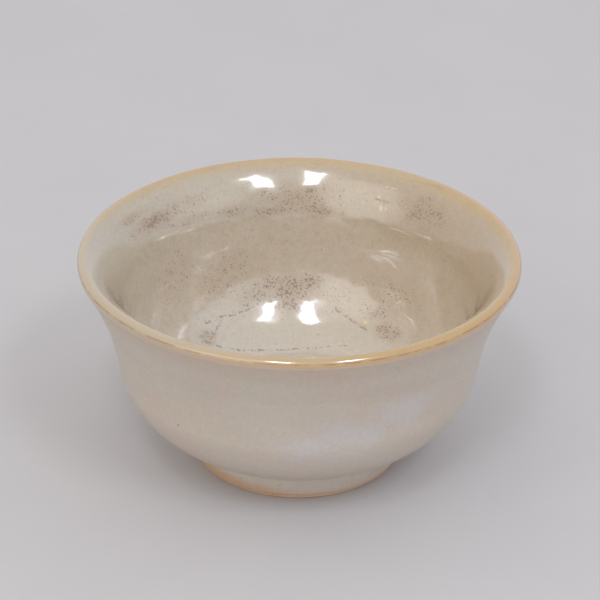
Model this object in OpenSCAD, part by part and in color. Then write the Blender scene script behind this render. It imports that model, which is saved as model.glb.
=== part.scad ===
// Guinomi: a small flared sake cup of glazed stoneware, standing on a trimmed foot ring.
// Millimetres and degrees, +Z up, origin at the middle of the foot's resting face.

/* [Rim] */
// Widest diameter of the mouth, over the glaze
rim_d = 80; // [68:0.5:94]
// Height of the cup, from the table to the top of the lip
cup_h = 40.6; // [35:0.1:48]
// Radius of the lip's rounded edge, over the glaze
lip_r = 1.2; // [1:0.05:1.45]

/* [Outside wall] */
// How far the mouth flares out past the turn, where the wall stands most upright
flare_w = 6.9; // [5.5:0.1:8.5]
// Lean of the wall from upright at the turn, in degrees
turn_lean = 7.7; // [6:0.1:9.5]
// Radius of the belly's curve, below the turn
belly_r = 16.3; // [13.5:0.1:19]
// Width of the straight underside, from the belly's curve in to the foot
underside_w = 6.15; // [4.5:0.05:7.5]
// Slope of the underside above the table, in degrees
underside_slope = 31.5; // [26:0.5:37]

/* [Inside wall] */
// Thickness of the wall where its inside stands most upright, measured level and with both glazes
wall_t = 3.5; // [2.9:0.1:4.2]
// How much higher that place is than the outside's turn
hollow_rise = 6.6; // [5:0.1:8]
// Lean of the inside from upright at that place, in degrees
hollow_turn_lean = 5.6; // [4:0.1:7]
// How much wider the shoulder curves from there than it would to reach the lip alone, as a share
shoulder_ease_share = 0.065; // [0.04:0.005:0.09]
// Radius of the tighter brim between the shoulder and the lip, as a share of the shoulder's
brim_share = 0.49; // [0.42:0.01:0.56]
// Width of the hollow's curved corner, from its most upright place in to the floor's dish
corner_w = 14.1; // [12:0.1:16]
// Radius of the corner's tighter curve, next to the dish
floor_curve_r = 12.5; // [10:0.5:14.5]
// Radius of the floor's shallow dish
dish_r = 140; // [110:5:190]
// Thickness of the floor at its middle, with both glazes
floor_t = 3.35; // [2.8:0.05:4]

/* [Foot] */
// Height of the corner that the foot's outside and the underside would make without their fillet
foot_h = 4.4; // [3.6:0.1:5.3]
// Outward lean of the foot's outside, in degrees
foot_lean = 2; // [0:0.5:4]
// Radius of the hollow fillet between the foot and the underside
foot_fillet_r = 1; // [0.7:0.1:1.6]
// Width of the foot ring at the table, measured between the glazes on its two sides
ring_t = 3.65; // [3:0.05:4.4]
// Inward lean of the well's side, in degrees
well_lean = 4; // [2:0.5:6]
// Radius of the pooled glaze in the well's corner
well_fillet_r = 1.2; // [0.8:0.1:1.8]
// Width and height of the bevel on both edges of the resting face
bevel = 0.3; // [0.2:0.05:0.45]
// Height of the bare clay band above the table
bare_h = 0.8; // [0.6:0.05:1.1]

/* [Glaze] */
// Thickness of the glaze coats
glaze_t = 0.35; // [0.25:0.01:0.45]

/* [Colour] */
// Fired clay
clay_colour = "#c79a70"; // [#c79a70, #b98a63, #d2ab86]
// Pearl glaze of the outside
outside_colour = "#c9bca9"; // [#c9bca9, #bfae98, #d4cabb]
// Lustre glaze of the hollow
hollow_colour = "#b8a386"; // [#b8a386, #a8926f, #c6b59b]
// Amber band of the lip
lip_colour = "#cd9f58"; // [#cd9f58, #bd8c45, #d8b072]

/* [Hidden] */

// Sides of the turning, and the largest gap between a curve of the outline and its chords
$fn = 128;
curve_gap = 0.004;

// The outline is a list of places [radius, height, facing]. Facing is the direction that the surface
// looks in, in degrees from straight outward. A point with a facing can be moved square to the surface.
function way(a) = [cos(a), sin(a)];
function facing(v) = atan2(v[1], v[0]);

// An arc has a centre and a radius, which is positive where the clay bulges and negative where it is
// hollow, so that the arc's point with facing a is always the centre plus the radius along that way.
function arc(centre, r, from, to) =
    let (step = 2 * acos(1 - curve_gap / abs(r)))
    let (steps = ceil(abs(to - from) / step))
    [for (i = [0 : steps])
        let (a = from + (to - from) * i / steps)
        let (p = centre + r * way(a))
        [p[0], p[1], a]];

// Radius of the arc that leaves a point with a facing and ends tangent to another arc
function radius_to_meet(point, a, other_c, other_r) =
    let (d = point - other_c)
    (d * d - other_r * other_r) / (2 * (way(a) * d - other_r));

// Facing at the place where two arcs meet tangent
function meeting_facing(c1, r1, c2, r2) = facing((c1 - c2) / (r2 - r1));

// Distance from the axis to an arc's outer side at a height
function outer_side(c, r, h) = c[0] + r * cos(asin((h - c[1]) / r));

// Centre of an arc that is tangent to two others, to the right of the way from the first to the second
function between(c1, r1, c2, r2, r) =
    let (gap = c2 - c1)
    let (way_on = gap / norm(gap))
    let (reach = r - r1)
    let (along = (gap * gap + reach * reach - (r2 - r) * (r2 - r)) / (2 * norm(gap)))
    let (aside = sqrt(reach * reach - along * along))
    c1 + along * way_on + aside * [way_on[1], -way_on[0]];

// Crossing of two lines, each given by its facing and its distance from the origin
function crossing(a1, d1, a2, d2) =
    let (det = sin(a2 - a1))
    [(d1 * sin(a2) - d2 * sin(a1)) / det, (d2 * cos(a1) - d1 * cos(a2)) / det];

// A stretch without its first point, where it follows another that ends there
function after(stretch) = [for (i = [1 : len(stretch) - 1]) stretch[i]];

// Points of a stretch, moved out square to the surface by t, and the same points backwards
function moved(stretch, t) = [for (p = stretch) [p[0], p[1]] + t * way(p[2])];
function backwards(points) = [for (i = [len(points) - 1 : -1 : 0]) points[i]];

// Centre of the lip's round
lip_c = [rim_d / 2 - lip_r, cup_h - lip_r];

// The mouth's width sets the turn's, and the belly and the straight underside lead in from there to the
// corner over the foot. The foot's height sets the corner's, and they lead up from there to the turn.
belly_w = belly_r * (cos(turn_lean) - sin(underside_slope));
belly_h = belly_r * (cos(underside_slope) - sin(turn_lean));
underside_h = underside_w * tan(underside_slope);
turn_p = [rim_d / 2 - flare_w, foot_h + underside_h + belly_h];
corner_p = [turn_p[0] - belly_w - underside_w, foot_h];
foot_d = 2 * (corner_p[0] - foot_h * tan(foot_lean));
well_d = foot_d - 2 * ring_t;

// Outside wall: the belly below the turn and the flare above it
turn_a = -turn_lean;
belly_c = turn_p - belly_r * way(turn_a);
flare_r = radius_to_meet(turn_p, turn_a, lip_c, lip_r);
flare_c = turn_p - flare_r * way(turn_a);
flare_end_a = meeting_facing(flare_c, flare_r, lip_c, lip_r);

// Straight underside and outside of the foot, with the hollow fillet between them
under_a = underside_slope - 90;
under_d = corner_p * way(under_a);
foot_a = -foot_lean;
foot_side_d = corner_p * way(foot_a);
foot_fillet_c = crossing(under_a, under_d + foot_fillet_r, foot_a, foot_side_d + foot_fillet_r);

// Stretches of the finished surface outside, from the foot up to the lip
foot_fillet = arc(foot_fillet_c, -foot_fillet_r, foot_a, under_a);
outside = concat(
    arc(belly_c, belly_r, under_a, turn_a),
    after(arc(flare_c, flare_r, turn_a, flare_end_a))
);

// The foot ring is luted to the bowl on a level plane, where the fillet meets the underside
outside_joint = moved([foot_fillet[len(foot_fillet) - 1]], -glaze_t)[0];
joint_h = outside_joint[1];

// Well's glazed ceiling, and the floor's middle over it
well_top_h = joint_h - glaze_t;
floor_h = well_top_h + floor_t;

// Inside wall: its most upright place, and the shoulder that leads up from there
hollow_turn_h = turn_p[1] + hollow_rise;
hollow_turn_a = 180 - hollow_turn_lean;
hollow_turn_p = [outer_side(flare_c, flare_r, hollow_turn_h) - wall_t, hollow_turn_h];
lip_alone_r = radius_to_meet(hollow_turn_p, hollow_turn_a, lip_c, lip_r);
shoulder_r = (1 + shoulder_ease_share) * lip_alone_r;
shoulder_c = hollow_turn_p - shoulder_r * way(hollow_turn_a);

// Brim between the shoulder and the lip
brim_r = brim_share * shoulder_r;
brim_c = between(lip_c, lip_r, shoulder_c, shoulder_r, brim_r);
brim_start_a = meeting_facing(brim_c, brim_r, lip_c, lip_r);
brim_end_a = meeting_facing(shoulder_c, shoulder_r, brim_c, brim_r);

// Floor's dish and the corner's tighter curve, and the hollow's curve that joins them to the wall
dish_c = [0, floor_h + dish_r];
dish_start_a = acos((corner_w - hollow_turn_p[0]) / dish_r);
floor_curve_c = dish_c - (dish_r - floor_curve_r) * way(dish_start_a);
hollow_r = radius_to_meet(hollow_turn_p, hollow_turn_a, floor_curve_c, -floor_curve_r);
hollow_c = hollow_turn_p - hollow_r * way(hollow_turn_a);
hollow_end_a = meeting_facing(hollow_c, hollow_r, floor_curve_c, -floor_curve_r);

// Stretches of the finished surface over the lip and down the inside
lip = concat(
    arc(lip_c, lip_r, flare_end_a, 0),
    after(arc(lip_c, lip_r, 0, 90)),
    after(arc(lip_c, lip_r, 90, brim_start_a))
);
inside = concat(
    arc(brim_c, brim_r, brim_start_a, brim_end_a),
    after(arc(shoulder_c, shoulder_r, brim_end_a, hollow_turn_a)),
    after(arc(hollow_c, hollow_r, hollow_turn_a, hollow_end_a)),
    after(arc(floor_curve_c, -floor_curve_r, hollow_end_a, dish_start_a)),
    after(arc(dish_c, -dish_r, dish_start_a, 90))
);

// Places on the foot's two straight sides at a height, measured to the clay or out to the glaze
function foot_side(h, t) = [(foot_side_d - glaze_t + t + h * sin(foot_lean)) / cos(foot_lean), h];
function well_side(h, t) = [well_d / 2 + (glaze_t - t) / cos(well_lean) - h * tan(well_lean), h];

// A glaze coat's edge on the foot thins out over a height equal to its thickness
glaze_edge_h = bare_h + glaze_t;

// Centre of the fillet in the well's corner
well_fillet_c = [
    well_side(well_top_h - well_fillet_r, glaze_t)[0] - well_fillet_r / cos(well_lean),
    well_top_h - well_fillet_r
];

// One coat of glaze over a stretch
module coat(stretch) {
    rotate_extrude() polygon(concat(moved(stretch, 0), backwards(moved(stretch, -glaze_t))));
}

// Turned stoneware wall and floor, with a flared mouth and a round lip
module bowl() {
    surface = concat(outside, after(lip), after(inside));
    color(clay_colour) rotate_extrude() polygon(concat(
        [[0, joint_h], outside_joint],
        moved(surface, -glaze_t)
    ));
}

// Trimmed ring under the bowl, bare and bevelled where it stands on the table
module foot_ring() {
    color(clay_colour) rotate_extrude() polygon(concat(
        [
            well_side(0, 0) + [bevel, 0],
            foot_side(0, 0) - [bevel, 0],
            foot_side(bevel, 0),
            foot_side(bare_h, 0)
        ],
        moved(foot_fillet, -glaze_t),
        [
            well_side(joint_h, 0),
            well_side(bare_h, 0),
            well_side(bevel, 0)
        ]
    ));
}

// Pearl coat from the bare band of the foot up to the lip
module outer_glaze() {
    surface = concat(foot_fillet, outside);
    color(outside_colour) rotate_extrude() polygon(concat(
        [foot_side(bare_h, 0), foot_side(glaze_edge_h, glaze_t)],
        moved(surface, 0),
        backwards(moved(surface, -glaze_t))
    ));
}

// Amber band over the round of the lip
module lip_glaze() {
    color(lip_colour) coat(lip);
}

// Lustre coat of the hollow, from the lip down over the floor
module inner_glaze() {
    color(hollow_colour) coat(inside);
}

// Coat in the well under the foot, pooled in its corner
module well_glaze() {
    color(outside_colour) rotate_extrude() polygon(concat(
        [[0, joint_h], [0, well_top_h]],
        moved(arc(well_fillet_c, -well_fillet_r, 270, 180 + well_lean), 0),
        [
            well_side(glaze_edge_h, glaze_t),
            well_side(bare_h, 0),
            well_side(joint_h, 0)
        ]
    ));
}

bowl();
foot_ring();
outer_glaze();
lip_glaze();
inner_glaze();
well_glaze();
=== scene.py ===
# %% [markdown]
# # A small flared sake cup
# The real thing is one fired pot: stoneware clay turned on a wheel, a foot ring trimmed under it, and thin
# coats of glaze fused to the clay. The fixed frame gives those pieces at their real size. It is loaded
# first, because each surface made below has to lie where the frame's pieces lie.

from functools import reduce
from types import SimpleNamespace

import bpy
import numpy as np
from mathutils import Matrix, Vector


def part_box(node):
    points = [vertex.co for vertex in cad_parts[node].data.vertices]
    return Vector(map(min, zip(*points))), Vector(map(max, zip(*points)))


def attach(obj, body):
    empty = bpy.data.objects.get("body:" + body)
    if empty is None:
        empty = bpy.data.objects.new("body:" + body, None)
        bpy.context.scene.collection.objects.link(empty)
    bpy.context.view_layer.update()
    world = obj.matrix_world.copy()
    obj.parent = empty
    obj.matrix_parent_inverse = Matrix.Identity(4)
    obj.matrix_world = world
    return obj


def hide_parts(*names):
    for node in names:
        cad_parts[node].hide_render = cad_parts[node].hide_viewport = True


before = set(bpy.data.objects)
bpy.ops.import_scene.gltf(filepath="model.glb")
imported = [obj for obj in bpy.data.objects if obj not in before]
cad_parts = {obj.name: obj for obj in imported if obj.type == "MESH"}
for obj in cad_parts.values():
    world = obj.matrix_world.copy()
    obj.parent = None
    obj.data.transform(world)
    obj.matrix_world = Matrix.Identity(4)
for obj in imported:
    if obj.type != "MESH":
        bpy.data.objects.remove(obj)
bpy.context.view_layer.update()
print("nodes:", sorted(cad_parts))

# %% [markdown]
# ## Sizes
# A potter would give this cup by its mouth, its height and a few curves, so the outline is worked out here
# from such sizes, in millimetres. What the frame's boxes tell is read from them. The rest repeats the
# turned profile's radii and leans, and a later cell measures how well the two agree.

# %% Sizes of the cup in millimetres
MM = 0.001


def box_mm(node):
    """The lowest and highest corners of a frame node, in millimetres."""
    low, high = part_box(node)
    return np.array(low) / MM, np.array(high) / MM


RIM_R = box_mm("lip_glaze")[1][0]
CUP_H = box_mm("lip_glaze")[1][2]
JOINT_H = box_mm("foot_ring")[1][2]
BARE_H = box_mm("well_glaze")[0][2]
GLAZE_T = 0.35
FLOOR_H = box_mm("inner_glaze")[0][2] + GLAZE_T

# The lip, and the outside down to the foot
LIP_R = 1.2
FLARE_W = 6.9
TURN_LEAN = 7.7
BELLY_R = 16.3
UNDERSIDE_W = 6.15
UNDERSIDE_SLOPE = 31.5
# The wall, and the inside down to the floor
WALL_T = 3.5
HOLLOW_RISE = 6.6
HOLLOW_TURN_LEAN = 5.6
SHOULDER_EASE_SHARE = 0.065
BRIM_SHARE = 0.49
CORNER_W = 14.1
FLOOR_CURVE_R = 12.5
DISH_R = 140
# The foot ring and its well
FOOT_H = 4.4
FOOT_LEAN = 2
FOOT_FILLET_R = 1
RING_T = 3.65
WELL_LEAN = 4
WELL_FILLET_R = 1.2
BEVEL = 0.3
print(f"rim radius {RIM_R:.2f}, height {CUP_H:.2f}, floor at {FLOOR_H:.2f}, foot joint at {JOINT_H:.2f}")

# %% [markdown]
# ## The outline as arcs
# A turned wall has no straight facets: each stretch of it flows into the next. Such a line is a chain of
# arcs that meet tangent. Every point keeps the direction that its surface faces, which gives both the
# glaze's thickness and an exact normal for smooth reflections. A radius below zero means a hollow arc.

# %% Rows along arcs and lines
# Furthest step between two rows in millimetres, and the most that they turn in degrees
STEP = 0.35
TURN_STEP = 3.0


def way(facing):
    """Unit vectors [radius, height] that look along a facing in degrees: its cosine and its sine."""
    return np.stack([np.cos(np.radians(facing)), np.sin(np.radians(facing))], -1)


def facing_of(vector):
    """The facing of a vector in degrees: the angle whose tangent is its height over its radius."""
    return np.degrees(np.arctan2(vector[1], vector[0]))


def arc(centre, radius, start, end):
    """Rows [radius, height, facing] along an arc: the centre plus the radius times each facing's way."""
    by_length = abs(radius) * np.radians(abs(end - start)) / STEP
    by_turn = abs(end - start) / TURN_STEP
    facing = np.linspace(start, end, int(np.ceil(max(by_length, by_turn))) + 1)
    return np.column_stack([centre + radius * way(facing), facing])


def line(start, end, facing):
    """Rows along a straight stretch, evenly spaced, which all look in one facing."""
    count = int(np.ceil(np.linalg.norm(np.subtract(end, start)) / STEP)) + 1
    points = np.linspace(start, end, count)
    return np.column_stack([points, np.full(count, facing)])


def moved(rows, t):
    """The same rows moved out by t, square to the surface: each place plus t times its way."""
    return np.column_stack([rows[:, :2] + t * way(rows[:, 2]), rows[:, 2]])


print(f"a quarter turn of 1 mm radius takes {len(arc(np.zeros(2), 1.0, 0, 90))} rows")

# %% Where arcs meet


def radius_to_meet(point, facing, other_centre, other_radius):
    """The radius of the arc that leaves a point in a facing and ends tangent to another arc: with d from
    the other centre to the point, (d squared - other radius squared) / 2 (way . d - other radius)."""
    d = point - other_centre
    return (d @ d - other_radius ** 2) / (2 * (way(facing) @ d - other_radius))


def meeting_facing(centre_a, radius_a, centre_b, radius_b):
    """The facing where two tangent arcs meet: that of the line through their centres."""
    return facing_of((centre_a - centre_b) / (radius_b - radius_a))


def between(centre_a, radius_a, centre_b, radius_b, radius):
    """The centre of an arc tangent to two others. Its distances from their centres are the differences of
    the radii, so it is the tip of a triangle on the right of the way from the first to the second."""
    gap = centre_b - centre_a
    way_on = gap / np.linalg.norm(gap)
    reach = radius - radius_a
    along = (gap @ gap + reach ** 2 - (radius_b - radius) ** 2) / (2 * np.linalg.norm(gap))
    aside = np.sqrt(reach ** 2 - along ** 2)
    return centre_a + along * way_on + aside * np.array([way_on[1], -way_on[0]])


touching = between(np.zeros(2), 1.0, np.array([3.0, 0.0]), 1.0, -1.0)
print("a hollow of radius 1 that touches two rounds of radius 1, 3 apart, is at", np.round(touching, 2))

# %% [markdown]
# ## The finished surface from the foot to the middle of the floor
# The eye follows one skin: up the foot, round the belly, out to the lip, over its round and down into the
# hollow. It is worked out once, as one list of rows, and the coats of glaze are cut from it afterwards, so
# that neighbouring coats share their edge rows exactly and no seam shows.

# %% Outside wall
lip_centre = np.array([RIM_R - LIP_R, CUP_H - LIP_R])
turn_facing = -TURN_LEAN
underside_facing = UNDERSIDE_SLOPE - 90
belly_w, belly_h = BELLY_R * (way(turn_facing) - way(underside_facing))
underside_h = UNDERSIDE_W * np.tan(np.radians(UNDERSIDE_SLOPE))
turn = np.array([RIM_R - FLARE_W, FOOT_H + underside_h + belly_h])
corner = np.array([turn[0] - belly_w - UNDERSIDE_W, FOOT_H])

belly_centre = turn - BELLY_R * way(turn_facing)
flare_r = radius_to_meet(turn, turn_facing, lip_centre, LIP_R)
flare_centre = turn - flare_r * way(turn_facing)
flare_end = meeting_facing(flare_centre, flare_r, lip_centre, LIP_R)
print(f"turn at radius {turn[0]:.2f}, height {turn[1]:.2f}; flare radius {flare_r:.2f} mm")

# %% [markdown]
# The foot's side leans out a little, and a hollow fillet, as a wet finger leaves it, leads from it into
# the underside. The fillet touches both lines, so its centre lies its radius away from each, which makes
# two equations. The glaze was wiped back above the table, so its outline starts there.

# %% Foot and its hollow fillet
foot_facing = -FOOT_LEAN
foot_side_d = corner @ way(foot_facing)
foot_normals = np.array([way(foot_facing), way(underside_facing)])
foot_fillet_centre = np.linalg.solve(foot_normals, foot_normals @ corner + FOOT_FILLET_R)
glaze_edge_h = BARE_H + GLAZE_T


def foot_side(height, glaze):
    """A place on the foot's outside at a height: the clay's line, moved out by the glaze on it."""
    lean = np.radians(FOOT_LEAN)
    return np.array([(foot_side_d - GLAZE_T + glaze + height * np.sin(lean)) / np.cos(lean), height])


foot_fillet = arc(foot_fillet_centre, -FOOT_FILLET_R, foot_facing, underside_facing)
belly = arc(belly_centre, BELLY_R, underside_facing, turn_facing)
outside = np.concatenate([
    line(foot_side(glaze_edge_h, GLAZE_T), foot_fillet[0, :2], foot_facing),
    foot_fillet[1:],
    line(foot_fillet[-1, :2], belly[0, :2], underside_facing)[1:],
    belly[1:],
    arc(flare_centre, flare_r, turn_facing, flare_end)[1:],
])
print(f"outside: {len(outside)} rows, from height {outside[0, 1]:.2f} to {outside[-1, 1]:.2f}")

# %% [markdown]
# The inside isn't the outside moved in, because a thrower leaves the corner thick and the lip round. Its
# chain starts where the hollow stands most upright. A wide circle, the shoulder, leads up from there, and
# a tighter one, the brim, touches both it and the lip's round. Below, the hollow's curve leads into the
# corner's, and that into the wide dish of the floor.

# %% Inside wall, floor and lip
hollow_turn_h = turn[1] + HOLLOW_RISE
hollow_facing = 180 - HOLLOW_TURN_LEAN
flare_sine = (hollow_turn_h - flare_centre[1]) / flare_r
flare_side = flare_centre[0] + flare_r * np.cos(np.arcsin(flare_sine))
hollow_turn = np.array([flare_side - WALL_T, hollow_turn_h])
lip_alone_r = radius_to_meet(hollow_turn, hollow_facing, lip_centre, LIP_R)
shoulder_r = (1 + SHOULDER_EASE_SHARE) * lip_alone_r
shoulder_centre = hollow_turn - shoulder_r * way(hollow_facing)
brim_r = BRIM_SHARE * shoulder_r
brim_centre = between(lip_centre, LIP_R, shoulder_centre, shoulder_r, brim_r)
brim_start = meeting_facing(brim_centre, brim_r, lip_centre, LIP_R)
brim_end = meeting_facing(shoulder_centre, shoulder_r, brim_centre, brim_r)

dish_centre = np.array([0, FLOOR_H + DISH_R])
dish_start = np.degrees(np.arccos((CORNER_W - hollow_turn[0]) / DISH_R))
floor_curve_centre = dish_centre - (DISH_R - FLOOR_CURVE_R) * way(dish_start)
hollow_r = radius_to_meet(hollow_turn, hollow_facing, floor_curve_centre, -FLOOR_CURVE_R)
hollow_centre = hollow_turn - hollow_r * way(hollow_facing)
hollow_end = meeting_facing(hollow_centre, hollow_r, floor_curve_centre, -FLOOR_CURVE_R)

lip = arc(lip_centre, LIP_R, flare_end, brim_start)
inside = np.concatenate([
    arc(brim_centre, brim_r, brim_start, brim_end),
    arc(shoulder_centre, shoulder_r, brim_end, hollow_facing)[1:],
    arc(hollow_centre, hollow_r, hollow_facing, hollow_end)[1:],
    arc(floor_curve_centre, -FLOOR_CURVE_R, hollow_end, dish_start)[1:],
    arc(dish_centre, -DISH_R, dish_start, 90)[1:],
])
inside[-1, 0] = 0
skin = np.concatenate([outside, lip[1:], inside[1:]])
LIP_START = len(outside) - 1
LIP_END = LIP_START + len(lip) - 1
print(f"skin: {len(skin)} rows")
print(f"radii: brim {brim_r:.2f}, shoulder {shoulder_r:.2f}, hollow {hollow_r:.2f} mm")

# %% [markdown]
# ## A turned skin that isn't perfect
# Fingers and a rib leave faint rings on the wheel, and glaze runs a little before it sets, so reflections
# in a real pot wander. A perfect surface of revolution gives itself away there. A few slow waves, a few
# hundredths of a millimetre high, are added square to the skin, and over them fine ripples, as on orange
# peel, that break a highlight's edge. They die out at the foot's edge and at the middle of the floor,
# where the azimuth loses its meaning.

# %% Waves of the skin
SIDES = 384
WAVE_SEED = 7
# How many there are, their height or slope, and the ranges of their lengths and of their turns a round
RING_COUNT, RING_HEIGHT, RING_LENGTHS = 4, 0.012, (5, 11)
RUN_COUNT, RUN_HEIGHT, RUN_LENGTHS, RUN_TURNS = 14, 0.02, (7, 22), (2, 19)
RIPPLE_COUNT, RIPPLE_SLOPE, RIPPLE_LENGTHS, RIPPLE_TURNS = 30, 0.0045, (2, 6), (-70, 70)
# The ripples' strength on the near side, and the cosine of the azimuth from which it grows on the way back
NEAR_SHARE, GROW_COSINE = 0.25, 0.1
# Millimetres over which the waves die out, from the foot's edge and from the axis
FOOT_EASE, AXIS_EASE = 4, 12


def along_rows(rows):
    """Distance along an outline to each of its rows: the running sum of the steps between them."""
    steps = np.linalg.norm(np.diff(rows[:, :2], axis=0), axis=1)
    return np.concatenate([[0], np.cumsum(steps)])[:, None]


def wave_heights(rows, azimuth):
    """The skin's unevenness in millimetres on a grid of rows and azimuths: rings, which are sines of the
    distance along the outline, plus runs, which are sines of that distance and of the azimuth together.
    Ripples are short runs, and each is as high as gives it the ripples' slope halfway out. The glaze lay
    thicker on the far side, and there they are strongest. Last, all is eased to zero by 3 t squared less
    2 t cubed, where t is the share of the way from the foot's edge and from the axis."""
    draw = np.random.default_rng(WAVE_SEED)
    along = along_rows(rows)
    around = azimuth[None, :]
    height = np.zeros((len(rows), len(azimuth)))
    for _ in range(RING_COUNT):
        length, phase = draw.uniform(*RING_LENGTHS), draw.uniform(0, 2 * np.pi)
        height += RING_HEIGHT * np.sin(2 * np.pi * along / length + phase)
    for _ in range(RUN_COUNT):
        length, phase = draw.uniform(*RUN_LENGTHS), draw.uniform(0, 2 * np.pi)
        turns = draw.integers(*RUN_TURNS)
        run = np.sin(2 * np.pi * along / length + phase + turns * around)
        height += RUN_HEIGHT * run / np.sqrt(turns)
    far_side = np.clip(GROW_COSINE - np.cos(around), 0, 1) * (1 - NEAR_SHARE) + NEAR_SHARE
    for _ in range(RIPPLE_COUNT):
        length, phase = draw.uniform(*RIPPLE_LENGTHS), draw.uniform(0, 2 * np.pi)
        turns = draw.integers(*RIPPLE_TURNS)
        steepness = np.hypot(2 * np.pi / length, turns / (lip_centre[0] / 2))
        ripple = np.sin(2 * np.pi * along / length + phase + turns * around)
        height += RIPPLE_SLOPE / steepness * ripple * far_side
    from_foot = np.clip(along / FOOT_EASE, 0, 1)
    from_axis = np.clip(rows[:, :1] / AXIS_EASE, 0, 1)
    ease = (from_foot * from_axis) ** 2 * (3 - 2 * from_foot) * (3 - 2 * from_axis)
    return height * ease


print(f"waves: {RING_COUNT} rings, {RUN_COUNT} runs and {RIPPLE_COUNT} ripples")

# %% Points of the skin


def spun(radius, height, azimuth):
    """Points of a turned surface: [radius sin azimuth, -radius cos azimuth, height], so that azimuth zero
    faces -Y, and it grows towards +X."""
    radius, height, azimuth = np.broadcast_arrays(radius, height, azimuth)
    return np.stack([radius * np.sin(azimuth), -radius * np.cos(azimuth), height], -1)


azimuth = np.linspace(0, 2 * np.pi, SIDES, endpoint=False)
waves = wave_heights(skin, azimuth)
skin_way = way(skin[:, 2])
wavy_radius = skin[:, :1] + waves * skin_way[:, :1]
wavy_height = skin[:, 1:2] + waves * skin_way[:, 1:]
skin_points = spun(wavy_radius, wavy_height, azimuth)
print(f"they reach from {waves.min():.3f} to {waves.max():.3f} mm on a grid of {waves.shape}")

# %% [markdown]
# Normals are worked out from the whole skin before it is cut into coats: the cross product of the step
# round the cup and the step along the outline. A coat's last row then shines just as its neighbour's
# first row does, which a mesh's own averaged normals wouldn't give. Near the axis the step round is too
# short to tell a direction, so the ideal one is taken.

# %% Normals of the skin
POLE_R = 1.0


def unit(vectors):
    """Vectors divided by their lengths."""
    return vectors / np.linalg.norm(vectors, axis=-1, keepdims=True)


step_round = np.roll(skin_points, -1, axis=1) - np.roll(skin_points, 1, axis=1)
flat_round = spun(np.ones((len(skin), 1)), 0, azimuth + np.pi / 2)
step_round = np.where(skin[:, :1, None] > POLE_R, step_round, flat_round)
ideal_normals = spun(skin_way[:, :1], skin_way[:, 1:], azimuth)
wave_slope = np.gradient(waves, axis=0) / np.gradient(along_rows(skin)[:, 0])[:, None]
along_way = spun(-skin_way[:, 1:], skin_way[:, :1], azimuth)
step_along = along_way + wave_slope[..., None] * ideal_normals
skin_normals = unit(np.cross(unit(step_round), unit(step_along)))
tilt = np.degrees(np.arccos(np.clip((skin_normals * ideal_normals).sum(-1), -1, 1)))
print(f"waves tilt the skin by {tilt.mean():.2f} degrees on average and {tilt.max():.2f} at most")

# %% [markdown]
# ## From rows to a mesh
# A piece is a closed outline turned round the axis. Its rows become rings of points, each pair of rings
# becomes a band of quads, and a row on the axis becomes one point with a fan of triangles, so that every
# piece is a closed solid with no gap at its pole. The clay lies on the left of the direction of travel.

# %% Mesh from rings
# A length or radius below this, in millimetres, counts as nothing
TINY = 1e-6
OUTLINES = {}


def band(first, second, first_pole, second_pole):
    """Faces between two rings of point numbers: quads, or triangles where one ring is a pole."""
    next_first, next_second = np.roll(first, -1), np.roll(second, -1)
    if first_pole:
        return np.stack([first, next_second, second], -1)
    if second_pole:
        return np.stack([first, next_first, second], -1)
    return np.stack([first, next_first, next_second, second], -1)


def turned_piece(name, rings, bands):
    """A closed mesh from rings (points of one row, one for a pole) and bands (the normals at both rings of
    each band, or None for a band along the axis). It rides on the cup's one body. The first point of each
    ring is kept as the piece's outline."""
    OUTLINES[name] = np.array([[np.hypot(ring[0][0], ring[0][1]), ring[0][2]] for ring in rings])
    starts = np.cumsum([0] + [len(ring) for ring in rings])
    numbers = [np.resize(np.arange(start, start + len(ring)), SIDES) for start, ring in zip(starts, rings)]
    faces, normals = [], []
    for i, pair in enumerate(bands):
        k = (i + 1) % len(rings)
        if pair is None:
            continue
        poles = len(rings[i]) == 1, len(rings[k]) == 1
        faces += band(numbers[i], numbers[k], *poles).tolist()
        a, b = (np.broadcast_to(side, (SIDES, 3)) for side in pair)
        next_a, next_b = np.roll(a, -1, axis=0), np.roll(b, -1, axis=0)
        loops = [a, next_b, b] if poles[0] else [a, next_a, b] if poles[1] else [a, next_a, next_b, b]
        normals.append(np.stack(loops, 1).reshape(-1, 3))
    mesh = bpy.data.meshes.new(name)
    mesh.from_pydata((np.concatenate(rings) * MM).tolist(), [], faces)
    mesh.polygons.foreach_set("use_smooth", np.ones(len(faces), bool))
    mesh.normals_split_custom_set(unit(np.concatenate(normals)).tolist())
    piece = bpy.data.objects.new(name, mesh)
    bpy.context.scene.collection.objects.link(piece)
    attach(piece, "root")
    triangles = sum(len(face) - 2 for face in faces)
    print(f"{name}: {len(mesh.vertices)} points, {triangles} triangles")
    return piece


# %% [markdown]
# Clay and hidden sides have no waves, so they are turned from plain rows. A sharp corner of the outline is
# a single row, and both sides that meet there keep a facing of their own, which keeps its edge crisp.

# %% Closed outlines of plain rows


def plain_piece(name, stretches):
    """A turned piece from stretches of rows [radius, height, facing] that form a closed outline. Between
    stretches the outline runs straight, and such a side looks square to its own direction."""
    rows = np.concatenate(stretches)
    ends = np.cumsum([len(stretch) for stretch in stretches]) - 1
    after = np.roll(rows, -1, axis=0)
    run = after[:, :2] - rows[:, :2]
    side_facing = np.degrees(np.arctan2(-run[:, 0], run[:, 1]))
    is_side = np.isin(np.arange(len(rows)), ends)
    start_facing = np.where(is_side, side_facing, rows[:, 2])
    end_facing = np.where(is_side, side_facing, after[:, 2])
    on_axis = rows[:, 0] < TINY
    rings = [spun(r, h, azimuth[:1] if pole else azimuth) for (r, h, _), pole in zip(rows, on_axis)]
    next_on_axis = np.roll(on_axis, -1)
    bands = [
        None if on_axis[i] and next_on_axis[i] else
        (spun(*way(start_facing[i]), azimuth), spun(*way(end_facing[i]), azimuth))
        for i in range(len(rows))
    ]
    return turned_piece(name, rings, bands)


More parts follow.
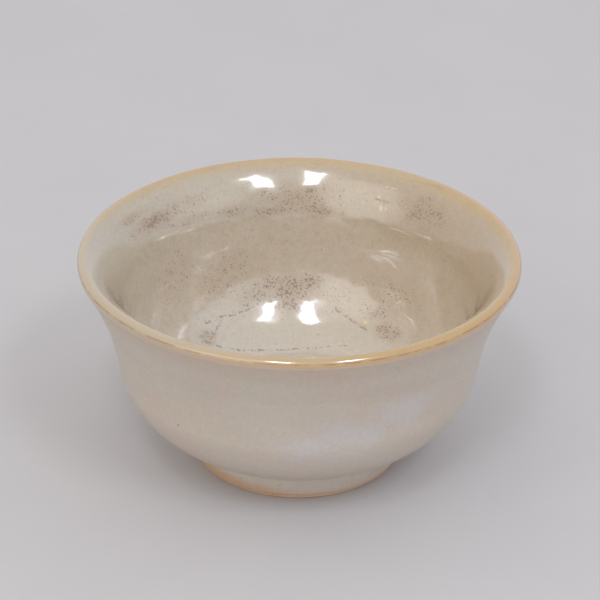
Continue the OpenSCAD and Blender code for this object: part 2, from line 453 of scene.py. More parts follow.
def corner_rows(*places):
    """Single rows for the outline's sharp corners, each a stretch of its own."""
    return [np.array([[*place, 0.0]]) for place in places]


# %% [markdown]
# ## Coats of glaze
# Glaze is a skin of glass about a third of a millimetre thick. Its outer face is a slice of the skin made
# above, and its back is the clay's own surface: the ideal outline, moved in by the glaze's thickness.
# Nobody sees the back, so it needs only every fourth row.

# %% Coats cut from the skin
BACK_STRIDE = 4


def coat(name, first, last, edge_rows=()):
    """A coat over the skin's rows from first to last. The back follows the same rows from the end to the
    start, and edge rows may come after it, where the coat thins out."""
    front = np.arange(first, last + 1)
    back = np.unique(np.r_[first:last + 1:BACK_STRIDE, last])[::-1]
    ends_on_axis = skin[last, 0] < TINY
    clay = moved(skin[back], -GLAZE_T)
    clay[clay[:, 0] < TINY, 0] = 0
    clay = np.concatenate([clay, *edge_rows])
    rings = [skin_points[row] for row in front]
    if ends_on_axis:
        rings[-1] = rings[-1][:1]
    rings += [spun(r, h, azimuth[:1] if r == 0 else azimuth) for r, h, _ in clay]
    bands = [(skin_normals[row], skin_normals[row + 1]) for row in front[:-1]]
    hidden = np.concatenate([skin[last:last + 1], clay, skin[first:first + 1]])
    run = np.diff(hidden[:, :2], axis=0)
    side = np.column_stack([run[:, 1], -run[:, 0]])
    for i, normal in enumerate(side):
        both = spun(*unit(normal), azimuth)
        bands.append(None if ends_on_axis and i == 0 else (both, both))
    return turned_piece(name, rings, bands)


outer_coat = coat("outer_coat", 0, LIP_START, corner_rows(foot_side(BARE_H, 0)))
lip_coat = coat("lip_coat", LIP_START, LIP_END)
inner_coat = coat("inner_coat", LIP_END, len(skin) - 1)

# %% [markdown]
# ## Clay
# The wall and floor are turned in one, and the foot ring is luted on and trimmed. The wall is hidden by
# glaze all over, but it is there, so that the part is as solid as the pot. The ring shows its bare,
# bevelled underside, the one place where the clay of a glazed pot can be read.

# %% Wall and foot ring
CLAY_STRIDE = 3
well_r = foot_side(0, GLAZE_T)[0] - RING_T


def well_side(height, glaze):
    """A place on the side of the well at a height: a line that leans inward, less the glaze on it."""
    lean = np.radians(WELL_LEAN)
    return np.array([well_r + (GLAZE_T - glaze) / np.cos(lean) - height * np.tan(lean), height])


JOINT_ROW = int(np.argmax(np.all(outside == foot_fillet[-1], axis=1)))
clay_rows = np.unique(np.r_[JOINT_ROW:len(skin) - 1:CLAY_STRIDE, len(skin) - 1])
clay_skin = moved(skin[clay_rows], -GLAZE_T)
clay_skin[-1, 0] = 0
bowl_clay = plain_piece("bowl_clay", [*corner_rows([0, JOINT_H]), clay_skin])

ring_clay = plain_piece("ring_clay", [
    *corner_rows(well_side(0, 0) + [BEVEL, 0], foot_side(0, 0) - [BEVEL, 0], foot_side(BEVEL, 0)),
    *corner_rows(foot_side(BARE_H, 0)),
    moved(foot_fillet, -GLAZE_T),
    *corner_rows(well_side(JOINT_H, 0), well_side(BARE_H, 0), well_side(BEVEL, 0)),
])

# %% [markdown]
# The well inside the ring is glazed too, and there the glass pools in the corner. Its outline is short:
# the ceiling, the pooled corner and the leaning side, then back along the clay.

# %% Glaze in the well
well_top_h = JOINT_H - GLAZE_T
well_fillet_h = well_top_h - WELL_FILLET_R
well_fillet_w = WELL_FILLET_R / np.cos(np.radians(WELL_LEAN))
well_fillet_centre = well_side(well_fillet_h, GLAZE_T) - [well_fillet_w, 0]
well_coat = plain_piece("well_coat", [
    *corner_rows([0, JOINT_H], [0, well_top_h]),
    arc(well_fillet_centre, -WELL_FILLET_R, 270, 180 + WELL_LEAN),
    *corner_rows(well_side(glaze_edge_h, GLAZE_T), well_side(BARE_H, 0), well_side(JOINT_H, 0)),
])

# %% [markdown]
# ## Do the new pieces lie where the frame's pieces lie?
# Each new piece stands for one node of the frame. The test takes the radius and height of every point of
# that node, and measures how far the furthest of them is from the new piece's outline.

# %% Replace the frame's nodes and measure
STANDS_FOR = {
    "bowl": (bowl_clay, "stoneware"),
    "foot_ring": (ring_clay, "stoneware"),
    "outer_glaze": (outer_coat, "pearl_glaze"),
    "lip_glaze": (lip_coat, "amber_glaze"),
    "inner_glaze": (inner_coat, "lustre_glaze"),
    "well_glaze": (well_coat, "pearl_glaze"),
}


def turned_places(mesh):
    """The different places [radius, height] of a mesh's points, in millimetres."""
    places = np.zeros(len(mesh.vertices) * 3)
    mesh.vertices.foreach_get("co", places)
    x, y, z = places.reshape(-1, 3).T / MM
    return np.unique(np.round(np.column_stack([np.hypot(x, y), z]), 2), axis=0)


def furthest(places, outline):
    """The largest distance from the places to a closed outline. On each of its runs, the nearest place is
    the clamped dot product of the run and the way to the point, over the run's length squared."""
    run = np.roll(outline, -1, axis=0) - outline
    run_squared = np.maximum((run ** 2).sum(-1), TINY)
    from_start = places[:, None] - outline
    share = np.clip((from_start * run).sum(-1) / run_squared, 0, 1)
    return np.linalg.norm(from_start - share[..., None] * run, axis=-1).min(1).max()


for node, (piece, slot) in STANDS_FOR.items():
    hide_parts(node)
    gap = furthest(turned_places(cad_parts[node].data), OUTLINES[piece.name])
    print(f"{node}: furthest node point is {gap:.3f} mm from {piece.name}")

# %% [markdown]
# ## Shader maths as Python
# A procedural finish is arithmetic on the place of a point. One small class wraps an output socket, so
# that `a * b + 0.2` adds the Math nodes, and another adds nodes to a tree. Colours and vectors have
# methods of their own, because a Math node would turn a colour grey.

# %% Wires


class Wire:
    """An output socket that takes part in arithmetic. Each operator adds a Math node, also where a plain
    number stands on its left."""

    def __init__(self, paint, socket):
        self.paint = paint
        self.socket = socket

    def __add__(self, other):
        return self.paint.math("ADD", self, other)

    def __sub__(self, other):
        return self.paint.math("SUBTRACT", self, other)

    def __rsub__(self, other):
        return self.paint.math("SUBTRACT", other, self)

    def __mul__(self, other):
        return self.paint.math("MULTIPLY", self, other)

    def __truediv__(self, other):
        return self.paint.math("DIVIDE", self, other)

    def __rtruediv__(self, other):
        return self.paint.math("DIVIDE", other, self)

    __radd__ = __add__
    __rmul__ = __mul__

    def output(self, name):
        """Another output of the same node."""
        return Wire(self.paint, self.socket.node.outputs[name])


# %% Paint


class Paint:
    """A node tree that finishes are mixed in."""

    def __init__(self, tree):
        self.tree = tree

    def node(self, kind, settings=None, inputs=None, out=0):
        """One node: its settings are set first, then numbers or wires go into its sockets."""
        made = self.tree.nodes.new("ShaderNode" + kind)
        for name, value in (settings or {}).items():
            setattr(made, name, value)
        for name, value in (inputs or {}).items():
            if isinstance(value, Wire):
                self.tree.links.new(value.socket, made.inputs[name])
            else:
                made.inputs[name].default_value = value
        return Wire(self, made.outputs[out])

    def math(self, operation, *values):
        """A Math node."""
        return self.node("Math", {"operation": operation}, dict(enumerate(values)))

    def fold(self, operation, values):
        """One number from many, such as their largest: a Math node takes in one after another."""
        return reduce(lambda total, value: self.math(operation, total, value), values)

    def vector(self, operation, *values, out=0):
        """A Vector Math node."""
        return self.node("VectorMath", {"operation": operation}, dict(enumerate(values)), out)

    def scaled(self, vector, factor):
        """A vector or a colour times a number."""
        return self.node("VectorMath", {"operation": "SCALE"}, {"Vector": vector, "Scale": factor})

    def length(self, vector):
        """A vector's length."""
        return self.vector("LENGTH", vector, out="Value")

    def dot(self, first, second):
        """The dot product of two vectors."""
        return self.vector("DOT_PRODUCT", first, second, out="Value")

    def mix(self, factor, first, second):
        """A colour that goes from the first to the second as the factor goes from 0 to 1."""
        return self.node("Mix", {"data_type": "RGBA"}, {0: factor, 6: first, 7: second}, 2)

    def rise(self, value, low, high):
        """A smooth step: 0 where the value is at low or past it, 1 at high, and soft between."""
        return self.node("MapRange", {"interpolation_type": "SMOOTHSTEP"}, {0: value, 1: low, 2: high})

    def noise(self, place, size, detail=2.0, roughness=0.5):
        """Soft noise about zero, from about -1 to 1, whose blotches are about size millimetres wide."""
        inputs = {"Vector": place, "Scale": 1 / size, "Detail": detail, "Roughness": roughness}
        return (self.node("TexNoise", None, inputs) - 0.5) * 3

    def oval(self, place, middle, turn, half_sizes):
        """Distance from the middle of an oval patch, where 1 is its edge: the place, turned about Z so
        that the oval's first axis runs round the cup, over the half sizes."""
        inputs = {"Vector": place, "Location": middle, "Rotation": (0, 0, turn), "Scale": half_sizes}
        return self.length(self.node("Mapping", {"vector_type": "TEXTURE"}, inputs))


# %% Colours


def colours(**codes):
    """Linear colours by name from hex codes. By the sRGB curve, a part v of a code becomes v / 12.92 up to
    0.04045, and above it ((v + 0.055) / 1.055) to the power 2.4."""
    made = {}
    for name, code in codes.items():
        values = np.array([int(code[i:i + 2], 16) for i in (0, 2, 4)]) / 255
        linear = np.where(values <= 0.04045, values / 12.92, ((values + 0.055) / 1.055) ** 2.4)
        made[name] = (*linear, 1.0)
    print("colours:", ", ".join(made))
    return SimpleNamespace(**made)


print(f"the middle grey 808080 is {colours(grey='808080').grey[0]:.3f} of white's light")

# %% [markdown]
# Every finish starts from the same measures of a point: its place in millimetres, its distance from the
# axis, its height, and how far out, how far up and how far off it is from the middle of the lip's round.
# Shared measures let a colour cross from one coat to the next without a step.

# %% Places on the cup


class Place:
    """Where a point of the surface is, in millimetres, as wires. Distances from the axis and from the
    lip's middle are the root of the sum of two squares."""

    def __init__(self, paint):
        self.mm = paint.scaled(paint.node("TexCoord", out="Object"), 1 / MM)
        self.x = paint.node("SeparateXYZ", None, {0: self.mm})
        self.y, self.z = self.x.output("Y"), self.x.output("Z")
        self.r = paint.math("SQRT", self.x * self.x + self.y * self.y)
        self.out, self.up = self.r - float(lip_centre[0]), self.z - float(lip_centre[1])
        self.from_lip = paint.math("SQRT", self.out * self.out + self.up * self.up)


def on_skin(azimuth_degrees, height, rows):
    """The place on the ideal skin at an azimuth and a height, from the rows that it lies on."""
    order = np.argsort(rows[:, 1])
    radius = np.interp(height, rows[order, 1], rows[order, 0])
    return tuple(float(v) for v in spun(radius, height, np.radians(azimuth_degrees)))


print("the hollow at azimuth 90, height 20 is at", np.round(on_skin(90, 20, inside), 2))

# %% Patches on the skin
# A patch's edge, as shares of its half sizes: where it starts, and where it is full
PATCH_EDGE, PATCH_CORE = 1.6, 0.2


def patches(paint, place, spots, rows, wander):
    """How much a point belongs to a group of oval patches, 0 to 1. Each spot is an azimuth, a height, a
    half width round the cup, a half height and a strength. A patch fades out over its edge, which wander
    roughens, and where patches overlap the strongest counts."""
    parts = []
    for turn, height, half_width, half_height, strength in spots:
        middle = on_skin(turn, height, rows)
        half_sizes = (half_width, half_height, half_height)
        edge = paint.oval(place.mm, middle, np.radians(turn), half_sizes) + wander
        parts.append(paint.rise(edge, PATCH_EDGE, PATCH_CORE) * strength)
    return paint.fold("MAXIMUM", parts)


# %% [markdown]
# What is the same all over a finish, such as its refraction, is set on the shader itself. What changes
# comes from a build function: the colour, the roughness, the height of a fine bump in millimetres and,
# where it changes too, the weight of the clear coat.

# %% Finishes


def make_finish(name, build, **uniform):
    """A material whose build function wires what changes, with the uniform values on the shader."""
    material = bpy.data.materials.new(name)
    material.use_nodes = True
    tree = material.node_tree
    shader = tree.nodes["Principled BSDF"]
    for socket, value in uniform.items():
        shader.inputs[socket.replace("_", " ")].default_value = value
    paint = Paint(tree)
    colour, roughness, height, *clear = build(paint, Place(paint))
    tree.links.new(colour.socket, shader.inputs["Base Color"])
    tree.links.new(roughness.socket, shader.inputs["Roughness"])
    for weight in clear:
        tree.links.new(weight.socket, shader.inputs["Coat Weight"])
    bump = paint.node("Bump", None, {"Height": height, "Distance": MM, "Strength": 1.0})
    tree.links.new(bump.socket, shader.inputs["Normal"])
    print(f"finish {name}: {len(tree.nodes)} nodes")
    return material


# %% [markdown]
# ## Two glazes and the amber between them
# The hollow's lustre and the outside's pearl are close relatives: tan or grey beige glass, clouded with
# faint pink and green. They meet on the round of the lip. Each ground is one function of the place, used
# by its own coat and by the lip's, so no seam shows where the coats meet. The clouds are noises of a few
# sizes, and each lets in one tint.

# %% Ground of the lustre
# Painted light among these colours: the two high colours and the high drift colour are painted shade near
# the lip, the floor and pool colours are partly painted reflection, and the gold is partly painted glints.
LUSTRE = colours(
    left="cac1b2", right="c9b89f", grey="c5bba6", pink="c6aa98", high_left="ada18a", high_right="a89275",
    floor="ccc2b0", brown="ab9682", pool="cbc2aa", low_drift="bba58c", high_drift="ab9173", speck="73573c",
    gold="ecd3a0",
)


def lustre_ground(paint, place):
    """Warm tan, yellower on the right, and paler on the floor, partly pooled glass and partly painted
    reflection of the bright room. Near the lip it is painted greyer and darker, as shade that tones down the
    sky's reflection on the shoulder. Noises of three sizes lay grey, pink and brown over it."""
    slow = paint.noise(place.mm, 9)
    other = paint.noise(place.mm, 6.5, 3)
    mottle = paint.noise(place.mm, 1.3, 4, 0.7)
    right = paint.rise(place.x + slow * 6, -28, 30)
    colour = paint.mix(right, LUSTRE.left, LUSTRE.right)
    colour = paint.mix(paint.rise(other, -0.3, 0.9) * 0.5, colour, LUSTRE.grey)
    colour = paint.mix(paint.rise(mottle, -0.2, 0.5) * 0.55, colour, LUSTRE.pink)
    # Painted shade: darker and greyer towards the lip, to tone down the sky's bright reflection on the
    # shoulder.
    high = paint.rise(place.z + slow * 1.5, 26, 35)
    colour = paint.mix(high * 0.8, colour, paint.mix(right, LUSTRE.high_left, LUSTRE.high_right))
    # Partly painted reflection: paler towards the floor, where pale glass pools and the bright room's
    # reflection lies.
    low = paint.rise(place.z + other * 0.8, 14.5, 9.5)
    colour = paint.mix(low * 0.7, colour, LUSTRE.floor)
    patchy = paint.rise(paint.noise(place.mm, 0.9, 3, 0.7), 0.1, 0.7)
    return paint.mix(patchy * (low * 0.25 + 0.12), colour, LUSTRE.brown)


# %% Ground of the pearl
# Painted light among these colours: the cloud colour is a painted reflection, and the foot colour is painted
# light above the foot.
PEARL = colours(
    cool="c5baab", warm="c6b7a8", grey="beb8a9", green="b9bba4", pink="cab2a5", breath="c6ab90",
    cloud="c5c2c1", pinhole="7a6454", foot="d6cabd", broken="c8ac94", burnt="c89c70",
)


def pearl_ground(paint, place):
    """Grey beige with soft grey, green and pink tints by noises, and a warm breath below the lip."""
    slow = paint.noise(place.mm, 13)
    other = paint.noise(place.mm, 7, 3)
    mottle = paint.noise(place.mm, 1.5, 3, 0.65)
    green = paint.noise(place.mm, 3.3, 3, 0.6)
    colour = paint.mix(paint.rise(slow, -0.6, 0.7), PEARL.cool, PEARL.warm)
    colour = paint.mix(paint.rise(other, -0.2, 0.9) * 0.5, colour, PEARL.grey)
    colour = paint.mix(paint.rise(green, 0.0, 0.6) * 0.4, colour, PEARL.green)
    colour = paint.mix(paint.rise(mottle + slow * 0.5, -0.1, 0.6) * 0.5, colour, PEARL.pink)
    return paint.mix(paint.rise(place.from_lip, 6, 1.5) * 0.35, colour, PEARL.breath)


# %% [markdown]
# On the lip the glass runs thin, and iron in the clay burns through it as honey and amber, deepest on the
# right and behind on the left. Flame caught the outermost edge, and a thin burnt line runs along it. The
# amber is one function of the place, used by all three coats that meet here.

# %% Amber of the lip
AMBER = colours(honey="b6a384", deep="b99554", burnt="8a6440", flame="c89a6c")
STREAK_STRETCH = (0.25, 0.25, 2.2)


def amber_over(paint, place, colour):
    """The colour with the lip's amber laid over it, and how much of it there is. From the outermost place
    of the round the band reaches over the top and fades on the way in, farther behind than in front."""
    streaks = paint.noise(paint.vector("MULTIPLY", place.mm, STREAK_STRETCH), 1.6, 3)
    wander = paint.noise(place.mm, 6)
    ragged = paint.noise(place.mm, 2.2, 3)
    behind = paint.rise(place.y, -5, 30)
    reach = behind * 1.1 + paint.rise(place.x, 20, 38) * 0.5
    inward = paint.rise(place.out + reach + wander * 0.3 + streaks * 0.25, -1.3, 0.4)
    band = inward * paint.rise(place.up + ragged * 0.08, -0.3, 0.0)

    right = paint.rise(place.x * 0.85 - place.y * 0.5 + wander * 6, -6, 36)
    far_left = paint.rise(place.y * 0.9 - place.x * 0.3 + wander * 5, 18, 36)
    outer = paint.rise(place.out + behind * 0.5, -0.5, 0.7)
    deep = right * (outer * 0.4 + 0.6) + far_left * outer * 0.75 + behind * 0.3
    amber = paint.mix(paint.math("MINIMUM", deep, 1.0), AMBER.honey, AMBER.deep)
    amber = paint.mix(paint.rise(streaks, 0.1, 0.9) * 0.2, amber, AMBER.burnt)

    edge = paint.rise(place.up + ragged * 0.1, 0.5, 0.2) * paint.rise(place.out, 0.5, 0.9)
    flame = edge * (right * 0.4 + 0.25)
    flame = flame + paint.rise(place.out, -0.3, 0.4) * behind * 0.5
    flame = flame + paint.rise(place.out, -0.6, 0.3) * paint.rise(place.x, 30, 39) * 0.4
    amber = paint.mix(paint.math("MINIMUM", flame, 1.0), amber, AMBER.flame)
    colour = paint.mix(band, colour, amber)

    line = paint.rise(paint.math("ABSOLUTE", place.up - 0.5 + ragged * 0.08), 0.2, 0.04)
    burnt = line * paint.rise(place.out, 0.8, 1.0) * paint.rise(ragged + wander * 0.5, -0.5, 0.3)
    return paint.mix(burnt * 0.7, colour, AMBER.burnt), band


# %% [markdown]
# The lip's coat goes from one ground to the other over the top of its round. The lustre's clear, glossy
# layer ends there, so its weight fades out below the round on the outside, which is duller.

# %% Lip finish
# Size of the grain in millimetres, and how rough the two glazes are
GRAIN = 0.45
LUSTRE_ROUGHNESS, PEARL_ROUGHNESS = 0.21, 0.33


def lip_finish(paint, place):
    """Glass that goes from lustre to pearl over the round of the lip, under the amber, with its grain."""
    inner, outer = lustre_ground(paint, place), pearl_ground(paint, place)
    colour, _ = amber_over(paint, place, paint.mix(paint.rise(place.out, -0.6, 0.6), inner, outer))
    colour = paint.scaled(colour, paint.noise(place.mm, GRAIN, 2, 0.7) * 0.06 + 1)
    outside_share = paint.rise(place.up, 0.1, -0.6)
    roughness = outside_share * (PEARL_ROUGHNESS - LUSTRE_ROUGHNESS) + LUSTRE_ROUGHNESS
    clear = paint.rise(place.up, -0.5, 0.0)
    return colour, roughness, paint.noise(place.mm, 1.6) * 0.004, clear


# %% [markdown]
# ## Lustre in the hollow
# A lustre glaze is fumed with metal salts, which lay a thin, strong mirror over a hazy tan glass. One
# gloss can't be both, so the shader has a satin base under a clear coat that follows the mesh alone: the
# waves in its reflections are real ones. Where the fumes caught, drifts of fine dark specks sit in a
# browner ground; two faint drifts on the right are painted shade that tones down bright reflections. Pale,
# clean patches and streaks are partly glass that ran together and partly painted reflection of the bright
# room, and a thin dotted line marks the edge of such a pool. A few gold sparks sit on the right, partly
# golden lustre and partly painted glints. The lists give the places as azimuth in degrees and height in
# millimetres.

# %% Drifts and pools of the lustre, with painted shade and painted reflection
# Drifts of dark specks, the last two painted shade: azimuth, height, half width, half height, strength
DRIFTS_AND_SHADE = [
    (-118, 38.2, 4.0, 0.9, 0.9),
    (-127, 35.9, 6.5, 1.5, 1.0),
    (-140, 36.3, 6.0, 1.5, 0.7),
    (-142, 33.8, 5.5, 1.0, 0.6),
    (-157, 33.4, 4.0, 1.2, 0.7),
    (-178, 35.0, 8.5, 2.6, 0.85),
    (-170, 32.8, 5.0, 1.0, 0.8),
    (174, 33.0, 5.5, 1.2, 0.85),
    (136, 36.2, 5.5, 2.8, 0.85),
    (134, 33.1, 2.4, 1.8, 0.6),
    (-154, 22.0, 6.5, 5.0, 0.45),
    (-146, 20.2, 5.5, 3.2, 0.5),
    (-130, 25.0, 6.0, 5.0, 0.4),
    (-176, 18.6, 8.0, 2.0, 0.95),
    (-176, 16.2, 4.5, 2.4, 0.95),
    (-162, 17.0, 4.0, 2.0, 0.7),
    (137, 13.8, 3.8, 1.8, 1.0),
    (148, 15.9, 4.5, 1.8, 0.7),
    (143, 20.0, 6.0, 3.0, 0.45),
    (-136, 12.9, 2.2, 1.6, 0.95),
    # The last two drifts are painted shade: they darken the wall where bright reflections and the
    # highlights' halo lie.
    (162, 17.0, 5.0, 2.6, 0.4),
    (165, 35.0, 5.5, 2.2, 0.35),
]
# Pale patches, partly pools of clean glass and partly painted reflection, in the same way
POOLS_AND_SHEEN = [
    (-150, 35.8, 9.0, 1.7, 0.5),
    (163, 35.4, 5.0, 2.0, 0.25),
    (-172, 12.0, 11.0, 2.4, 0.6),
    (168, 11.5, 6.0, 2.0, 0.5),
]
print(f"the lustre has {len(DRIFTS_AND_SHADE)} drifts and {len(POOLS_AND_SHEEN)} pools")

# %% Streaks, sparks and lines of the lustre
# Pale streaks, partly pooled glass and partly painted reflection: strength, half width, then corners of
# azimuth and height
STREAKS_AND_SHEEN = [
    (0.4, 1.2, [(-137, 14.6), (-148, 16.1), (-156, 17.6), (-165, 19.2)]),
    (0.35, 1.3, [(169, 19.2), (163, 17.2), (155, 15.2), (147, 13.2)]),
]
# Gold sparks, partly golden lustre and partly painted glints, in the drifts' way
GOLD_AND_GLINTS = [
    (151, 38.2, 1.8, 0.35, 0.8),
    (154, 36.4, 0.5, 0.3, 0.8),
    (152, 34.8, 0.9, 0.6, 0.7),
    (145, 36.4, 1.6, 1.1, 0.4),
    (150, 13.9, 0.8, 0.45, 1.0),
    (152, 16.0, 0.6, 0.6, 0.7),
    (157, 15.6, 1.6, 0.6, 0.4),
    (152, 9.8, 0.5, 0.3, 0.8),
    (147, 10.2, 0.6, 0.35, 0.8),
]
# Thin dotted lines: corners of azimuth and height
LINES = [
    [(-138, 14.9), (-146, 14.9), (-156, 14.9), (-163, 15.7)],
    [(-146, 14.7), (-140, 13.1), (-137, 11.9)],
    [(-132, 12.7), (-139, 11.1), (-146, 10.3), (-156, 9.8), (177, 9.6), (163, 10.0), (153, 10.6)],
    [(169, 16.4), (163, 14.8), (156, 13.7), (148, 13.0)],
    [(-124, 36.4), (-126, 34.9), (-141, 33.3)],
    [(155, 36.0), (150, 35.9)],
]
print(f"and {len(STREAKS_AND_SHEEN)} streaks, {len(GOLD_AND_GLINTS)} gold sparks and {len(LINES)} lines")

# %% [markdown]
# A line over the skin is a chain of straight runs through places on it. A point's distance from the chain
# is worked out in the shader, so the line stays sharp at any size of picture. Specks need no places of
# their own: they are the peaks of a noise, and a drift only says how many of them show.

# %% Lines and specks
# Sizes in millimetres: a speck, the groups that specks gather in, and a line's edge and core
SPECK, SPECK_GROUP = 0.4, 1.7
LINE_EDGE, LINE_CORE = 0.32, 0.08


def near_path(paint, place, path, rows):
    """Distance in millimetres from a path over the skin: the smallest distance to any of its straight
    runs. On a run, the nearest place is the clamped dot product of the run and the way to the point."""
    corners = [np.array(on_skin(*corner, rows)) for corner in path]
    distances = []
    for start, end in zip(corners[:-1], corners[1:]):
        run = end - start
        from_start = paint.vector("SUBTRACT", place.mm, tuple(start))
        share = paint.node("Clamp", None, {"Value": paint.dot(from_start, tuple(run / (run @ run)))})
        from_run = paint.vector("SUBTRACT", from_start, paint.scaled(tuple(run), share))
        distances.append(paint.length(from_run))
    return paint.fold("MINIMUM", distances)


def specks(paint, place, amount):
    """Round specks, 0 to 1: the peaks of a fine noise, of which more stand out as the amount grows, and of
    which a broader noise gathers some and thins out others."""
    peaks = paint.noise(place.mm, SPECK, 1) + paint.noise(place.mm, SPECK_GROUP, 2) * 0.35 + amount
    return paint.rise(peaks, 0.66, 0.95)


def grained(paint, place, colour):
    """The colour times 1 plus a fine and a coarser noise, as glass over sandy clay has, and the fine one."""
    grain = paint.noise(place.mm, GRAIN, 2, 0.7)
    mottle = paint.noise(place.mm, 1.1, 3, 0.7)
    return paint.scaled(colour, (grain + mottle * 0.7) * 0.09 + 1), grain


# %% [markdown]
# The finish is laid from the ground up: the pale pools, partly painted reflection, the drifts' browner
# ground with its painted shade, specks and lines, the gold with its painted glints, and the lip's amber over
# all. The grain comes last, so that it runs through every layer.

# %% Lustre finish


def lustre_finish(paint, place):
    """Tan glass with tints, pale pooled patches partly painted as reflection, drifting specks with some
    painted shade, lines, golden sparks with painted glints, amber at its top, and grain.
    """
    wander = paint.noise(place.mm, 2.6, 4, 0.65) * 0.75
    # Drifts of specks, two of them painted shade over bright reflections.
    drifts_and_shade = patches(paint, place, DRIFTS_AND_SHADE, inside, wander)

    # Pale patches and streaks: partly clean pooled glass, partly painted reflection of the bright room.
    pools_and_sheen = [patches(paint, place, POOLS_AND_SHEEN, inside, wander)]
    for strength, half_width, path in STREAKS_AND_SHEEN:
        near = near_path(paint, place, path, inside) / half_width + wander * 0.7
        pools_and_sheen.append(paint.rise(near, 1.7, 0.1) * strength)
    pools_and_sheen = paint.fold("MAXIMUM", pools_and_sheen)
    clean_and_sheen = pools_and_sheen * (paint.rise(paint.noise(place.mm, 1.0, 3, 0.65), -0.9, 0.5) * 0.5 + 0.35)

    # Gold sparks: partly golden lustre, partly painted glints.
    gold = patches(paint, place, GOLD_AND_GLINTS, inside, wander)
    gold = paint.rise(gold + paint.noise(place.mm, 0.6, 2) * 0.7, 0.5, 1.1)

    near_lines = [near_path(paint, place, path, inside) + wander * 0.5 for path in LINES]
    lines = paint.fold("MAXIMUM", [paint.rise(near, LINE_EDGE, LINE_CORE) for near in near_lines])
    lines = lines * paint.rise(paint.noise(place.mm, 0.7, 2, 0.6), -0.15, 0.3)
    marks = specks(paint, place, drifts_and_shade * (0.7 - pools_and_sheen * 0.35))
    dark = paint.math("MAXIMUM", marks, lines)

    colour = paint.mix(clean_and_sheen, lustre_ground(paint, place), LUSTRE.pool)
    # Painted shade: this ground too is darker higher up, towards the lip.
    drift_and_shade_ground = paint.mix(paint.rise(place.z, 22, 32), LUSTRE.low_drift, LUSTRE.high_drift)
    colour = paint.mix(drifts_and_shade * (1 - pools_and_sheen * 0.7) * 0.75, colour, drift_and_shade_ground)
    colour = paint.mix(dark * 0.76, colour, LUSTRE.speck)
    colour = paint.mix(gold * 0.7, colour, LUSTRE.gold)
    colour, _ = amber_over(paint, place, colour)
    colour, grain = grained(paint, place, colour)
    roughness = LUSTRE_ROUGHNESS + grain * 0.03 + dark * 0.1 - pools_and_sheen * 0.03
    height = paint.noise(place.mm, 1.5) * 0.003 - dark * 0.002
    return colour, roughness, height


# %% [markdown]
# ## Pearl outside
# The same glaze fired on the outside with less fuming: a satin, greyish beige with a breath of pink and
# green, fine grain, and one cool, whitish patch on the right, a painted reflection. Below the lip a breath
# of its amber is left. Just above the foot the colour is painted paler, as light that lifts the shade
# there. At the foot the coat runs thin and breaks to orange brown, just above the bare band.

# %% Marks of the pearl
# Cool, whitish patches of painted reflection: azimuth, height, half width, half height, strength
REFLECTION_CLOUDS = [
    (4, 19.5, 6.0, 3.4, 0.8),
    (17, 21.6, 6.5, 3.4, 1.0),
    (34, 24.5, 7.0, 3.4, 0.8),
    (12, 16.4, 8.0, 2.6, 0.5),
]
# Pinholes: cells to a millimetre, the share of cells with a hole, and a hole's edge and core in cells. A
# hole shows where the middle of its cell is less than the edge away from the surface.
CELLS_PER_MM, HOLED_SHARE = 0.18, 0.35
HOLE_EDGE, HOLE_CORE = 0.05, 0.02
holes_per_cm2 = CELLS_PER_MM ** 3 * (2 * HOLE_EDGE / CELLS_PER_MM) * HOLED_SHARE * 100
print(f"{len(REFLECTION_CLOUDS)} cool clouds, and on average {holes_per_cm2:.2f} pinholes on a square centimetre")


def pinholes(paint, place):
    """A few pinholes, 0 to 1: a cell pattern, where a third of the cells have one at their middle."""
    inputs = {"Vector": place.mm, "Scale": CELLS_PER_MM, "Randomness": 1.0}
    cells = paint.node("TexVoronoi", None, inputs)
    draw = paint.node("SeparateColor", None, {0: cells.output("Color")})
    return paint.rise(cells, HOLE_EDGE, HOLE_CORE) * paint.math("GREATER_THAN", HOLED_SHARE, draw)


def flame_side(paint, place, slow):
    """How strongly the flame caught the foot: 1 on the left, 0 on the right and soft between."""
    return paint.rise(place.x + slow * 4, 8, -18)


# %% Pearl finish


def pearl_finish(paint, place):
    """Satin beige with tints, a cool painted reflection and pinholes, amber above, painted light just above
    the foot, orange brown below, and grain.
    """
    slow = paint.noise(place.mm, 13)
    other = paint.noise(place.mm, 7, 3)
    # Painted reflection: cool, whitish patches on the right of the outside.
    reflection_clouds = patches(paint, place, REFLECTION_CLOUDS, outside, paint.noise(place.mm, 5, 4, 0.6) * 0.6)
    holes = pinholes(paint, place)
    colour = paint.mix(reflection_clouds * 0.8, pearl_ground(paint, place), PEARL.cloud)
    colour = paint.mix(holes * 0.6, colour, PEARL.pinhole)
    colour, band = amber_over(paint, place, colour)
    # Painted light: paler just above the foot, to lift the shade under the belly.
    colour = paint.mix(paint.rise(place.z, 7.0, 4.2) * 0.6, colour, PEARL.foot)
    left = flame_side(paint, place, slow)
    breaking = paint.rise(place.z + other * 0.4 - left * 0.7, 2.6, 0.7) * (left * 0.3 + 0.5)
    colour = paint.mix(breaking, colour, paint.mix(left, PEARL.broken, PEARL.burnt))
    colour, grain = grained(paint, place, colour)
    roughness = PEARL_ROUGHNESS + grain * 0.04 + other * 0.03 - band * 0.2
    height = paint.noise(place.mm, 3) * 0.004 + grain * 0.0012 - holes * 0.05
    return colour, roughness, height


# %% [markdown]
# ## Bare clay
# The ring's underside is stoneware: matt, sandy and warm, with darker grog in it and an orange flush where
# the glaze ends, because salts from the glaze colour the clay next to it. Trimming leaves fine rings.

# %% Clay finish
CLAY = colours(pale="d8b99b", rosy="d0ad91", grog="8c6444", flush="ceb198", orange="c89862")
CLAY_ROUGHNESS = 0.82
# Radians that the trimming rings' sine moves on in a millimetre of radius
RING_PACE = 14
print(f"trimming rings {2 * np.pi / RING_PACE:.2f} mm apart")


